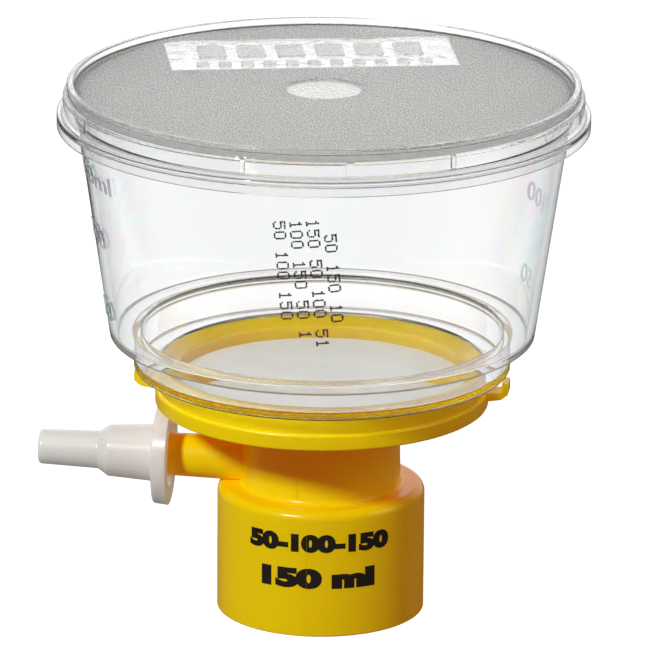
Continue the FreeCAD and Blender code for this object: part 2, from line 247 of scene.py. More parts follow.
def moulded_skin_group():
    """Node group: the slow unevenness of a moulded surface, as a mask, a roughness and a height."""
    group = bpy.data.node_groups.new("moulded_skin", "ShaderNodeTree")
    for name, value in (("Grain", 900.0), ("Flow", 60.0), ("Roughness", 0.3), ("Spread", 0.08)):
        socket = group.interface.new_socket(name, in_out="INPUT", socket_type="NodeSocketFloat")
        socket.default_value = value
    for name in ("Mask", "Roughness", "Height"):
        group.interface.new_socket(name, in_out="OUTPUT", socket_type="NodeSocketFloat")
    add = node_maker(group)
    given = add("GroupInput").outputs
    place = add("TexCoord").outputs["Object"]
    flow = noise_value(add, place, given["Flow"], 3.0, Roughness=0.55, Distortion=0.6)
    grain = noise_value(add, place, given["Grain"], 2.0)
    both = maths(add, "ADD", flow, grain)
    swing = maths(add, "SUBTRACT", both, 1.0)
    rough = maths(add, "MULTIPLY_ADD", swing, given["Spread"], given["Roughness"])
    add("GroupOutput", {"Mask": flow, "Roughness": rough, "Height": both})
    return group


def at(azimuth, radius, height):
    """Point in metres at an azimuth in degrees, from -Y towards +X, and a radius and height in mm."""
    turn = math.radians(azimuth - 90)
    return Vector((radius * math.cos(turn), radius * math.sin(turn), height)) * MM


def closed_mesh(name, verts, faces, merge=False):
    """Mesh whose faces all look outwards; merge joins the points that coincide."""
    mesh = bpy.data.meshes.new(name)
    mesh.from_pydata(verts, [], faces)
    shape = bmesh.new()
    shape.from_mesh(mesh)
    if merge:
        bmesh.ops.remove_doubles(shape, verts=shape.verts, dist=1e-7)
    bmesh.ops.recalc_face_normals(shape, faces=shape.faces)
    shape.to_mesh(mesh)
    shape.free()
    return mesh


def tube(name, rings):
    """Closed mesh through a row of equal rings of points, its ends capped."""
    count = len(rings[0])
    faces = [tuple(range(count)), tuple((len(rings) - 1) * count + i for i in range(count))]
    for s in range(len(rings) - 1):
        for i in range(count):
            j = (i + 1) % count
            faces.append((s * count + i, s * count + j, (s + 1) * count + j, (s + 1) * count + i))
    return closed_mesh(name, [point for ring in rings for point in ring], faces)


def seam_line(name, spine, material, body):
    """Fine raised line left by a mould's joint: spine holds pairs of a point and its way out."""
    rings = []
    for i, (point, outward) in enumerate(spine):
        along = spine[min(i + 1, len(spine) - 1)][0] - spine[max(i - 1, 0)][0]
        side = along.cross(outward).normalized() * SEAM_ACROSS * MM / 2
        root = point - outward * SEAM_T * MM
        rings.append((root + side, root - side, point + outward * SEAM_T * MM))
    return new_piece(name, tube(name, rings), material, body)


moulded_skin = moulded_skin_group()
yellow_styrene, add = new_material("yellow_styrene")
skin = add("Group", {"Grain": 1100.0, "Flow": 45.0, "Roughness": 0.25}, node_tree=moulded_skin).outputs
# The emission is a painted red glow, which makes the shaded yellow look orange.
surfaced(add, {"Base Color": blend(add, skin["Mask"], YELLOW, YELLOW_DEEP),
               "Roughness": skin["Roughness"], "IOR": 1.5, "Specular IOR Level": 0.3,
               "Subsurface Weight": 0.2, "Subsurface Scale": 0.003,
               "Subsurface Radius": (1.0, 0.3, 0.02),
               "Emission Color": PAINTED_RED_GLOW, "Emission Strength": PAINTED_RED_GLOW_STRENGTH,
               "Normal": bumped(add, skin["Height"], 0.25, 0.00003)})
nodes["threaded_base"].material_slots[0].material = yellow_styrene

rings = []
for step in range(int(THREAD_TURNS * THREAD_STEPS) + 1):
    azimuth = 360 * step / THREAD_STEPS
    z = THREAD_LOW + THREAD_PITCH * step / THREAD_STEPS
    ends = min(step, THREAD_TURNS * THREAD_STEPS - step) / THREAD_FADE
    crest_r = SOCKET_R + CREST_SUNK - (CREST_DEPTH + CREST_SUNK) * min(1, ends)
    shoulder_r = crest_r + CREST_BEVEL
    root_r = SOCKET_R + THREAD_ROOT[0]
    rings.append([at(azimuth, r, z + dz) for r, dz in
                  ((root_r, -THREAD_ROOT[1]), (root_r, THREAD_ROOT[1]),
                   (shoulder_r, CREST_HALF[0]), (crest_r, CREST_HALF[1]),
                   (crest_r, -CREST_HALF[1]), (shoulder_r, -CREST_HALF[0]))])
new_piece("neck_thread", tube("neck_thread", rings), yellow_styrene, "base")

column_seam = []
outward = at(COLUMN_SEAM_AZIMUTH, 1, 0).normalized()
seam_long = COLUMN_HIGH[1] - COLUMN_LOW[1] - sum(COLUMN_SEAM_ENDS)
for k in range(COLUMN_SEAM_STEPS + 1):
    share = k / COLUMN_SEAM_STEPS
    radius = COLUMN_LOW[0] + (COLUMN_HIGH[0] - COLUMN_LOW[0]) * share
    height = COLUMN_LOW[1] + COLUMN_SEAM_ENDS[0] + seam_long * share
    column_seam.append((at(COLUMN_SEAM_AZIMUTH, radius, height), outward))
seam_line("column_seam", column_seam, yellow_styrene, "base")
outward = at(COLLAR_SEAM_AZIMUTH, 1, 0).normalized()
collar_seam = [(at(COLLAR_SEAM_AZIMUTH, COLLAR_R, z), outward) for z in COLLAR_SEAM_HEIGHTS]
seam_line("collar_seam", collar_seam, yellow_styrene, "base")


# ---- Print on the collar. Two lines of plain black figures, pad printed in matt ink on the
# yellow collar; the ink is a little thinner and rougher in places.
PRINT_LINES = (("print_upper", "50-100-150", 17.05, 3.3, 26.0, 5.0),
               ("print_lower", "150 ml", 10.65, 3.7, 20.6, 4.6))   # height, tall, long, azimuth
PRINT_WEIGHT = 0.075
INK_T = 0.03
INK_BLACK = (0.006, 0.005, 0.004, 1)
INK_WORN = (0.022, 0.014, 0.006, 1)
FIGURE_STRIP = 0.6             # width of the strips that figures are cut in to follow a round wall
FIGURE_SHARP = math.radians(40)


def figures(text, height, length, weight=0.0):
    """Flat, centred bmesh of plain figures of a height and length in mm; weight thickens strokes."""
    curve = bpy.data.curves.new("figures", "FONT")
    curve.body = text
    curve.offset = weight
    holder = bpy.data.objects.new("figures", curve)
    bpy.context.scene.collection.objects.link(holder)
    settled = holder.evaluated_get(bpy.context.evaluated_depsgraph_get())
    mesh = bpy.data.meshes.new_from_object(settled)
    bpy.data.objects.remove(holder)
    shape = bmesh.new()
    shape.from_mesh(mesh)
    low = [min(v.co[k] for v in shape.verts) for k in (0, 1)]
    high = [max(v.co[k] for v in shape.verts) for k in (0, 1)]
    tall = height * MM / (high[1] - low[1])
    wide = length * MM / (high[0] - low[0])
    for v in shape.verts:
        v.co = ((v.co.x - (low[0] + high[0]) / 2) * wide, (v.co.y - (low[1] + high[1]) / 2) * tall, 0)
    return shape


def solid_figures(name, shape, thickness, place):
    """Cuts flat figures in strips, thickens them by mm and bends them with place(x, y, out), in mm."""
    strip = FIGURE_STRIP * MM
    reach = max(abs(v.co.x) for v in shape.verts)
    for k in range(-int(reach / strip), int(reach / strip) + 1):
        everything = shape.verts[:] + shape.edges[:] + shape.faces[:]
        bmesh.ops.bisect_plane(shape, geom=everything, plane_co=(k * strip, 0, 0), plane_no=(1, 0, 0))
    top = bmesh.ops.extrude_face_region(shape, geom=shape.faces[:], use_keep_orig=True)["geom"]
    for v in top:
        if isinstance(v, bmesh.types.BMVert):
            v.co.z = thickness * MM
    for v in shape.verts:
        v.co = place(v.co.x / MM, v.co.y / MM, v.co.z / MM)
    bmesh.ops.recalc_face_normals(shape, faces=shape.faces)
    mesh = bpy.data.meshes.new(name)
    shape.to_mesh(mesh)
    shape.free()
    mesh.set_sharp_from_angle(angle=FIGURE_SHARP)
    return mesh


black_ink, add = new_material("black_ink")
skin = add("Group", {"Grain": 2600.0, "Roughness": 0.5, "Spread": 0.25}, node_tree=moulded_skin).outputs
surfaced(add, {"Base Color": blend(add, skin["Mask"], INK_BLACK, INK_WORN),
               "Roughness": skin["Roughness"], "Specular IOR Level": 0.35,
               "Normal": bumped(add, skin["Height"], 0.4, 0.00001)})

for name, text, height, tall, long, azimuth in PRINT_LINES:
    def on_collar(x, y, out):
        return at(azimuth + math.degrees(x / COLLAR_R), COLLAR_R - INK_T / 3 + out, height + y)
    ink = solid_figures(name, figures(text, tall, long, PRINT_WEIGHT), INK_T, on_collar)
    new_piece(name, ink, black_ink, "base")


# ---- Neck gasket. A die-cut ring of soft pale foam rubber, pressed into the pocket at the top of
# the neck socket, where the bottle's rim seals on it. Its skin is matt, with fine open pores.
FOAM_PORE_SHADE = (0.66, 0.66, 0.64, 1)
FOAM_SKIN = (0.82, 0.82, 0.80, 1)
FOAM_PORES = 2200.0            # pores in a metre
PORE_R = 0.5                   # share of the pores' pitch from a pore's middle to the skin

gasket_foam, add = new_material("gasket_foam")
place = add("TexCoord").outputs["Object"]
pores = add("TexVoronoi", {"Vector": place, "Scale": FOAM_PORES, "Randomness": 1.0}, feature="F1")
pits = ramp(add, pores.outputs["Distance"], 0.0, PORE_R)
skin = add("Group", {"Roughness": 0.78}, node_tree=moulded_skin).outputs
# Painted shade darkens each pore towards its middle.
surfaced(add, {"Base Color": blend(add, pits, FOAM_PORE_SHADE, FOAM_SKIN), "Roughness": skin["Roughness"],
               "IOR": 1.45, "Normal": bumped(add, pits, 0.7, 0.00006)})
nodes["neck_gasket"].material_slots[0].material = gasket_foam


# ---- Membrane. A thin white filter disc of cast cellulose acetate, held at its edge under the
# chamber's lip. It lies on twelve radial ribs and sags a little between them, in soft waves.
MEMBRANE_R = 25.9
MEMBRANE_LOW = 41.0
MEMBRANE_T = 0.15
MEMBRANE_RIBS = 12
MEMBRANE_SAG = 0.05
MEMBRANE_HELD_R = 24.2         # radius from which the disc's edge is held flat
MEMBRANE_EASE = 5.0            # from the held edge to where the disc is free
MEMBRANE_HUB_R = 8.0           # radius inside which the ribs' hub flattens it again
MEMBRANE_WAVES = ((0.12, 0.10), (0.4, 0.02))   # how close the waves are, and their height
MEMBRANE_RINGS = 72
MEMBRANE_SPOKES = 240
MEMBRANE_FIBRES = 4200.0       # how close the fibres' grain is, and the clouds'
MEMBRANE_CLOUDS = 110.0
MEMBRANE_CLOUDING = 0.8        # strength of the clouds against the fibres
MEMBRANE_TONES = (0.5, 1.3)    # the weave's values at the dull and the pale tone
MEMBRANE_DULL = (0.84, 0.81, 0.765, 1)
MEMBRANE_PALE = (0.95, 0.925, 0.885, 1)


def membrane_lift(radius, turn):
    """How far the film lies above or below its seat, in mm, at a radius in mm and an angle."""
    free = min(1.0, max(0.0, (MEMBRANE_HELD_R - radius) / MEMBRANE_EASE))
    free *= min(1.0, radius / MEMBRANE_HUB_R)
    sag = MEMBRANE_SAG * math.sin(MEMBRANE_RIBS * turn / 2) ** 2
    spot = Vector((radius * math.cos(turn), radius * math.sin(turn), 0.0))
    wave = sum(noise.noise(spot * rate) * tall for rate, tall in MEMBRANE_WAVES)
    return -free * (sag + max(-sag, wave))


verts, faces = [], []
for base_z in (MEMBRANE_LOW, MEMBRANE_LOW + MEMBRANE_T):
    verts.append((0, 0, (base_z + membrane_lift(0, 0)) * MM))
    for ring in range(1, MEMBRANE_RINGS + 1):
        radius = MEMBRANE_R * ring / MEMBRANE_RINGS
        for spoke in range(MEMBRANE_SPOKES):
            turn = 2 * math.pi * spoke / MEMBRANE_SPOKES
            z = base_z + membrane_lift(radius, turn)
            verts.append((radius * math.cos(turn) * MM, radius * math.sin(turn) * MM, z * MM))
side_count = 1 + MEMBRANE_RINGS * MEMBRANE_SPOKES
for start in (0, side_count):
    for spoke in range(MEMBRANE_SPOKES):
        after = (spoke + 1) % MEMBRANE_SPOKES
        faces.append((start, start + 1 + spoke, start + 1 + after))
        for ring in range(MEMBRANE_RINGS - 1):
            a = start + 1 + ring * MEMBRANE_SPOKES
            b = a + MEMBRANE_SPOKES
            faces.append((a + spoke, b + spoke, b + after, a + after))
edge = 1 + (MEMBRANE_RINGS - 1) * MEMBRANE_SPOKES
for spoke in range(MEMBRANE_SPOKES):
    after = (spoke + 1) % MEMBRANE_SPOKES
    faces.append((edge + spoke, edge + after, side_count + edge + after, side_count + edge + spoke))

membrane_film, add = new_material("membrane_film")
place = add("TexCoord").outputs["Object"]
fibres = noise_value(add, place, MEMBRANE_FIBRES, 4.0, Roughness=0.65)
clouds = noise_value(add, place, MEMBRANE_CLOUDS, 3.0, Distortion=0.8)
weave = maths(add, "MULTIPLY_ADD", clouds, MEMBRANE_CLOUDING, fibres)
tone = blend(add, ramp(add, weave, *MEMBRANE_TONES), MEMBRANE_DULL, MEMBRANE_PALE)
surfaced(add, {"Base Color": tone, "Roughness": 0.48, "IOR": 1.47,
               "Normal": bumped(add, weave, 0.5, 0.00002)})
film_mesh = closed_mesh("membrane_film", verts, faces)
film = new_piece("membrane_film", film_mesh, membrane_film, "base")
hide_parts("filter_membrane")


# ---- Upper chamber. A clear, polished polystyrene moulding: lip, floor, foot, tapered wall and lid ledge. It is welded to the base's upstand, so that the yellow shows straight through the joint. Stress frozen into the wall shows as faint cyan and pink tints, painted into its colour as a sheen, strongest at the wall's sides along X.
WALL_FOOT = (36.82, 49.7)      # radius and height of the wall at the shoulder
WALL_SLOPE = math.tan(math.radians(8.25))
WALL_ACROSS = 1.263            # wall's thickness, measured level
SHOULDER_FLOOR = WALL_FOOT[1] + 1.3   # the shoulder's upper face
RIM_Z = 92.4
LEDGE_Z = 89.7
LEDGE_OUT = 3.35               # from the wall to the ledge's edge
LEDGE_T = 1.0
SKIRT_Z = 87.15                # lower edge of the skirt that hangs from the ledge
SKIRT_T = 0.8
FOOT_R = 32.7
FOOT_INNER_R = 31.4
FOOT_Z = 43.9
LAND_Z = 44.2                  # height of the weld land, and its inner and outer radius
LAND_R = 27.9
LAND_OUTER_R = 28.45
WELD_DEPTH = 0.05              # clear plastic that is fused into the yellow
FLOOR_Z = 45.2
FLOOR_EDGE_R = 28.1            # radius where the level floor starts to slope to the lip
LIP_R = 25.4
LIP_OUTER_R = 26.1
LIP_Z = (41.16, 43.4)          # heights of the lip's lower and upper edges
LIP_ROOT_Z = 43.03             # height where the lip's outside leaves the floor's underside
EDGE = 0.3                     # rounding of most edges, and of fine ones
FINE_EDGE = 0.15
TURNED_SEGMENTS = 320
RIM_SHADE_START = 0.35               # share of a face's turning away at which painted shade starts to grey the plastic
RIM_PAINTED_SHADE = (0.30, 0.31, 0.32, 1)
CLEAR = (0.993, 0.995, 0.995, 1)
CLEAR_SHADOW = (0.70, 0.71, 0.71, 1)
POLISH = 0.015                 # roughness of a polished face
FLOW = 34.0                    # how close the slow ripples and stress bands of the flow are
STRESS_SHEEN_COLOURS = ((0.34, (0.98, 0.86, 0.93, 1)), (0.42, CLEAR), (0.49, (0.80, 0.97, 0.985, 1)),
                  (0.55, CLEAR), (0.61, (0.985, 0.97, 0.83, 1)),
                  (0.68, (0.94, 0.84, 0.97, 1)))   # place on the ramp, tint
STRESS_SHEEN_SIDES = (30.0, 41.0)    # distance from the middle where the tints set in, and are full
STRESS_SHEEN_AMOUNT = (0.10, 0.7)    # strength of the tints in the middle and at the sides
STRESS_SHEEN_TOP = (89.0, 83.0)      # heights where they end, and are full
# Painted shade: dark bands painted into the clear plastic's colour along its round corners.
CORNER_SHADES = ((*WALL_FOOT, 0.7, (0.09, 0.065, 0.03, 1)),
                 (FOOT_INNER_R, SHOULDER_FLOOR, 0.4, (0.01, 0.01, 0.008, 1)),
                 (FOOT_R, WALL_FOOT[1], 0.6, (0.40, 0.30, 0.15, 1)),
                 (FOOT_R, FOOT_Z, 0.6, (0.10, 0.05, 0.01, 1)))   # radius, height, reach and shade
CORNER_FULL = 0.4              # share of the reach inside which a corner's shade is full


def wall_r(height):
    """Outer radius of the chamber's wall in mm."""
    return WALL_FOOT[0] + (height - WALL_FOOT[1]) * WALL_SLOPE


def rounded(corners, steps=6):
    """Outline of (radius, height, rounding) corners in mm, each rounding drawn as short chords."""
    points = []
    for i, corner in enumerate(corners):
        here = Vector(corner[:2])
        radius = corner[2] if len(corner) > 2 else 0
        if radius == 0:
            points.append(here)
            continue
        back = (Vector(corners[i - 1][:2]) - here).normalized()
        ahead = (Vector(corners[(i + 1) % len(corners)][:2]) - here).normalized()
        half = back.angle(ahead) / 2
        middle = here + (back + ahead).normalized() * (radius / math.sin(half))
        start = here + back * (radius / math.tan(half)) - middle
        end = here + ahead * (radius / math.tan(half)) - middle
        sweep = start.angle_signed(end)
        for k in range(steps + 1):
            points.append(middle + Matrix.Rotation(-sweep * k / steps, 2) @ start)
    return points


def turned(name, outline):
    """Closed mesh of an outline of (radius, height) points in mm, turned about the upright axis."""
    verts, faces = [], []
    count = len(outline)
    for s in range(TURNED_SEGMENTS):
        azimuth = 360 * s / TURNED_SEGMENTS
        ahead = (s + 1) % TURNED_SEGMENTS
        for i, point in enumerate(outline):
            j = (i + 1) % count
            verts.append(at(azimuth, point.x, point.y))
            faces.append((s * count + i, ahead * count + i, ahead * count + j, s * count + j))
    return closed_mesh(name, verts, faces, merge=True)


def from_upright(add, split):
    """A place's level part, and its distance from the upright axis."""
    level = add("CombineXYZ", {"X": split["X"], "Y": split["Y"]}).outputs["Vector"]
    return level, add("VectorMath", {0: level}, operation="LENGTH").outputs["Value"]


def corner_shaded(add, split, colour, corners):
    """A colour with painted shade near round edges, for the dark lines that a real moulding's bent light
    draws there.
    """
    out = from_upright(add, split)[1]
    here = add("CombineXYZ", {"X": out, "Y": split["Z"]}).outputs["Vector"]
    for radius, height, reach, shade in corners:
        corner = (radius * MM, height * MM, 0)
        gap = add("VectorMath", {0: here, 1: corner}, operation="DISTANCE").outputs["Value"]
        near = ramp(add, gap, reach * MM, reach * MM * CORNER_FULL, smooth=True)
        colour = blend(add, near, colour, shade)
    return colour


def stress_sheen_and_shade_group():
    """Node group: pale stress colours painted as a sheen, strongest at the sides along X, with painted
    shade at round corners.
    """
    group = bpy.data.node_groups.new("stress_sheen_and_shade", "ShaderNodeTree")
    group.interface.new_socket("Color", in_out="OUTPUT", socket_type="NodeSocketColor")
    add = node_maker(group)
    place = add("TexCoord").outputs["Object"]
    split = add("SeparateXYZ", {"Vector": place}).outputs
    across = maths(add, "ABSOLUTE", split["X"])
    sides = ramp(add, across, *(x * MM for x in STRESS_SHEEN_SIDES), *STRESS_SHEEN_AMOUNT, smooth=True)
    below_ledge = ramp(add, split["Z"], *(z * MM for z in STRESS_SHEEN_TOP))
    rainbow = add("ValToRGB", {"Fac": noise_value(add, place, FLOW, 1.0, Distortion=1.8)})
    stops = rainbow.color_ramp.elements
    stops[0].position, stops[0].color = STRESS_SHEEN_COLOURS[0]
    stops[1].position, stops[1].color = STRESS_SHEEN_COLOURS[-1]
    for place_on_ramp, colour in STRESS_SHEEN_COLOURS[1:-1]:
        stops.new(place_on_ramp).color = colour
    amount = maths(add, "MULTIPLY", sides, below_ledge)
    tinted = blend(add, amount, CLEAR, rainbow.outputs["Color"])
    add("GroupOutput", {"Color": corner_shaded(add, split, tinted, CORNER_SHADES)})
    return group


def rippled(add):
    """Normal of a polished clear face with its faint, slow ripple."""
    return bumped(add, noise_value(add, add("TexCoord").outputs["Object"], FLOW, 1.0), 0.12, 0.0002)


def clear_look(add, colour, roughness, normal, shadow, rim_power=2.5):
    """Clear plastic that lets light through to what stands behind it, with painted grey shade on faces
    that turn away, and its material output.
    """
    facing = add("LayerWeight", {"Blend": 0.5}).outputs["Facing"]
    rim_shade = maths(add, "POWER", ramp(add, facing, RIM_SHADE_START, 1.0), rim_power)
    glass = add("BsdfPrincipled", {"Base Color": blend(add, rim_shade, colour, RIM_PAINTED_SHADE),
                                   "Roughness": roughness, "IOR": 1.59,
                                   "Transmission Weight": 1.0, "Normal": normal})
    passing = add("BsdfTransparent", {"Color": shadow})
    mix = add("MixShader", {0: add("LightPath").outputs["Is Shadow Ray"],
                            1: glass.outputs["BSDF"], 2: passing.outputs["BSDF"]})
    add("OutputMaterial", {"Surface": mix.outputs["Shader"]})


stress_sheen_and_shade = stress_sheen_and_shade_group()
clear_styrene, add = new_material("clear_styrene")
sheen_and_shade = add("Group", node_tree=stress_sheen_and_shade).outputs["Color"]
clear_look(add, sheen_and_shade, POLISH, rippled(add), CLEAR_SHADOW)

ledge_r = wall_r(LEDGE_Z) + LEDGE_OUT
skirt_r = ledge_r - SKIRT_T
ledge_under = LEDGE_Z - LEDGE_T
weld_z = LAND_Z - WELD_DEPTH
profile = rounded([
    (wall_r(RIM_Z), RIM_Z, EDGE), (wall_r(LEDGE_Z), LEDGE_Z, EDGE), (ledge_r, LEDGE_Z, EDGE),
    (ledge_r, SKIRT_Z, FINE_EDGE), (skirt_r, SKIRT_Z, FINE_EDGE), (skirt_r, ledge_under, EDGE),
    (wall_r(ledge_under), ledge_under, EDGE), (*WALL_FOOT, 0.6), (FOOT_R, WALL_FOOT[1], 0.35),
    (FOOT_R, FOOT_Z, 0.45), (FOOT_INNER_R, FOOT_Z, EDGE), (FOOT_INNER_R, LAND_Z),
    (LAND_OUTER_R, LAND_Z), (LAND_OUTER_R, weld_z), (LAND_R, weld_z),
    (LIP_OUTER_R, LIP_ROOT_Z), (LIP_OUTER_R, LIP_Z[0]), (LIP_R, LIP_Z[0]),
    (LIP_R, LIP_Z[1], FINE_EDGE), (FLOOR_EDGE_R, FLOOR_Z, FINE_EDGE),
    (FOOT_INNER_R, FLOOR_Z, EDGE), (FOOT_INNER_R, SHOULDER_FLOOR, 0.1),
    (wall_r(SHOULDER_FLOOR) - WALL_ACROSS, SHOULDER_FLOOR, 0.6),
    (wall_r(RIM_Z) - WALL_ACROSS, RIM_Z, EDGE)])
chamber_mesh = turned("chamber_shell", profile)
chamber = new_piece("chamber_shell", chamber_mesh, clear_styrene, "base")
even = chamber.modifiers.new("even_shading", "WEIGHTED_NORMAL")
even.keep_sharp = False
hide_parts("upper_chamber")


# ---- Graduations. Plain volume figures moulded as raised relief on the outside of the clear wall,
# in two columns on opposite sides; the light that passes through them comes out a little duller.
SCALE_COLUMNS = (("left", -79.0, 0.0), ("right", 102.5, 1.9))   # azimuth where figures start, lift
SCALE_FIGURES = (("150ml", 81.2, 17.5), ("100", 69.8, 11.0), ("50", 55.9, 7.6))   # text, height, long
SCALE_TALL = 3.2
RELIEF_T = 0.2
RELIEF_SUNK = 0.04             # part of it that lies inside the wall
RELIEF_DULL = (0.66, 0.67, 0.68, 1)

relief_styrene, add = new_material("relief_styrene")
sheen_and_shade = add("Group", node_tree=stress_sheen_and_shade).outputs["Color"]
dulled = blend(add, 1.0, sheen_and_shade, RELIEF_DULL, "MULTIPLY")
clear_look(add, dulled, POLISH, rippled(add), CLEAR_SHADOW, rim_power=1.0)

for side, start, lift in SCALE_COLUMNS:
    for text, low, long in SCALE_FIGURES:
        height = low + lift
        flat = figures(text, SCALE_TALL, long)
        half = max(v.co.x for v in flat.verts) / MM

        def on_wall(x, y, out):
            radius = wall_r(height + y) - RELIEF_SUNK + out
            return at(start + math.degrees((x + half) / wall_r(height)), radius, height + y)
        name = "scale_" + side + "_" + text
        relief = solid_figures(name, flat, RELIEF_T, on_wall)
        new_piece(name, relief, relief_styrene, "base")


# ---- Coder print. Four short lines of plain figures, printed in dark grey ink dots by an ink jet
# that fires down the chamber's outside wall; each dot is a tiny, slightly raised blob.
CODER_DOTS = {"0": (".###.", "#...#", "#...#", "#...#", "#...#", "#...#", ".###."),
              "1": ("..#..", ".##..", "..#..", "..#..", "..#..", "..#..", ".###."),
              "5": ("#####", "#....", "####.", "....#", "....#", "#...#", ".###.")}
CODER_LINES = (("50 150 10", 2.9), ("150 50 100 51", 0.0), ("100 150 50 1", 0.0),
               ("50 100 150", 0.0))   # text, and how far down it starts
CODER_LINE_PITCH = 2.8
CODER_PITCH = 1.83             # from one figure to the next
CODER_ROW = 0.31               # pitch of the ink jet's dots across a line, and along it
CODER_COLUMN = 0.29
CODER_TOP = (8.6, 82.3)        # azimuth and height where the rightmost line starts
CODER_LEAN = math.radians(5.3)
CODER_SEED = 11
DOT_R = (0.165, 0.2)           # the smallest and the largest
DOT_SIDES = 8
DOT_SCATTER = 0.02
DOT_OUT = (0.012, 0.03)        # height of a dot's edge and of its middle above the wall
CODER_DARK = (0.022, 0.022, 0.025, 1)
CODER_FADED = (0.07, 0.07, 0.075, 1)


def ink_dot(down, across):
    """Adds one blob of ink to verts and faces, in mm down a line and across it from the start."""
    down += rng.gauss(0, DOT_SCATTER)
    across += rng.gauss(0, DOT_SCATTER)
    level = CODER_TOP[1] - down * math.cos(CODER_LEAN) + across * math.sin(CODER_LEAN)
    shift = across * math.cos(CODER_LEAN) + down * math.sin(CODER_LEAN)
    blob = rng.uniform(*DOT_R)
    first = len(verts)
    for k in range(DOT_SIDES):
        turn = 2 * math.pi * k / DOT_SIDES
        z = level + blob * math.sin(turn)
        azimuth = CODER_TOP[0] + math.degrees((shift + blob * math.cos(turn)) / wall_r(z))
        verts.append(at(azimuth, wall_r(z) + DOT_OUT[0], z))
    azimuth = CODER_TOP[0] + math.degrees(shift / wall_r(level))
    verts.append(at(azimuth, wall_r(level) + DOT_OUT[1], level))
    faces.extend((first + k, first + (k + 1) % DOT_SIDES, first + DOT_SIDES) for k in range(DOT_SIDES))


coder_ink, add = new_material("coder_ink")
skin = add("Group", {"Grain": 3000.0, "Roughness": 0.55}, node_tree=moulded_skin).outputs
surfaced(add, {"Base Color": blend(add, skin["Mask"], CODER_DARK, CODER_FADED),
               "Roughness": skin["Roughness"]})

rng = random.Random(CODER_SEED)
verts, faces = [], []
for line, (text, start) in enumerate(CODER_LINES):
    for place_in_line, figure in enumerate(text):
        for row, dots in enumerate(CODER_DOTS.get(figure, ())):
            for column, dot in enumerate(dots):
                if dot == "#":
                    ink_dot(start + place_in_line * CODER_PITCH + column * CODER_COLUMN,
                            -line * CODER_LINE_PITCH - row * CODER_ROW)
coder_mesh = bpy.data.meshes.new("coder_print")
coder_mesh.from_pydata(verts, [], faces)
new_piece("coder_print", coder_mesh, coder_ink, "base")


# ---- Lid. A clear polystyrene lid that lifts straight off: skirt with centring ribs, stacking
# ring, and a top that the mould left frosted, apart from a shallow dimple over the gate and a
# polished panel with plain raised blocks.
LID_TURN = math.radians(11.8)
LID_TOP = 93.6
LID_SHADOW = (0.77, 0.78, 0.78, 1)
LID_RIM_POWER = 6.0
LID_POLISH = 0.02              # roughness of the lid's clear parts
FROST_LOW = LID_TOP - 0.04     # height above which the lid's top is frosted
FROST_R = 42.95
FROST_PIT = (0.28, 0.274, 0.256, 1)
FROST_SPARKLE_SPECK = (1.0, 0.995, 0.965, 1)
FROST_ROUGH = (0.42, 0.14)     # roughness of the frost, and of its fine parts
FROST_GRAINS = 3900.0          # how close the frost's grains are, and their stretch along the lid
FROST_STRETCH = (1.0, 0.4, 1.0)
FROST_SPECKS = (0.46, 0.54)    # the grain's values in its pits and on its specks
FROST_EDGE_SHADE = (FROST_R, LID_TOP, 0.4, (0.03, 0.028, 0.02, 1))   # painted shade along the frost's edge, as in CORNER_SHADES
FINE_PIT = (0.82, 0.82, 0.815, 1)
DIMPLE_R = (6.2, 6.8)          # from the dimple's level part to its edge
DIMPLE_SHADE_R = 10.0          # radius where the painted shade around the dimple has gone
DIMPLE_SHADE = (0.55, 1.0)     # how far the pits are towards the frost's, from the dimple to there
# dark pits of the painted shade round the dimple
DIMPLE_SHADE_PIT = (0.15, 0.147, 0.138, 1)
PANEL_Y = 23.6
PANEL_HALF = (25.2, 9.95)
PANEL_FINE = 0.45              # how far the panel's grain is towards the fine one
PANEL_FLOW = 160.0             # how close its slow waves are, and their height against the grains
PANEL_WAVES = 1.1

frosted_styrene, add = new_material("frosted_styrene")
place = add("TexCoord").outputs["Object"]
split = add("SeparateXYZ", {"Vector": place}).outputs
level, from_axis = from_upright(add, split)
inside = maths(add, "LESS_THAN", from_axis, FROST_R * MM)
on_top = maths(add, "GREATER_THAN", split["Z"], FROST_LOW * MM)
dimple = ramp(add, from_axis, DIMPLE_R[1] * MM, DIMPLE_R[0] * MM)
frost = maths(add, "MAXIMUM", maths(add, "MULTIPLY", inside, on_top), dimple)

squared = add("VectorRotate", {"Vector": level, "Angle": -LID_TURN}, rotation_type="Z_AXIS")
from_panel = add("VectorMath", {0: squared.outputs["Vector"], 1: (0.0, PANEL_Y * MM, 0.0)},
                 operation="SUBTRACT")
reach = add("VectorMath", {0: from_panel.outputs["Vector"]}, operation="ABSOLUTE")
reach = add("SeparateXYZ", {"Vector": reach.outputs["Vector"]}).outputs
across = maths(add, "LESS_THAN", reach["X"], PANEL_HALF[0] * MM)
deep = maths(add, "LESS_THAN", reach["Y"], PANEL_HALF[1] * MM)
panel = maths(add, "MULTIPLY", across, deep)

# The frost's grain: dark pits and bright specks, the specks also a painted sparkle.
grit = add("VectorMath", {0: place, 1: FROST_STRETCH}, operation="MULTIPLY").outputs["Vector"]
sand = noise_value(add, grit, FROST_GRAINS, 1.0, Roughness=0.5)
sparkle_speck = ramp(add, sand, *FROST_SPECKS)
fine = maths(add, "MULTIPLY_ADD", panel, PANEL_FINE, dimple, use_clamp=True)
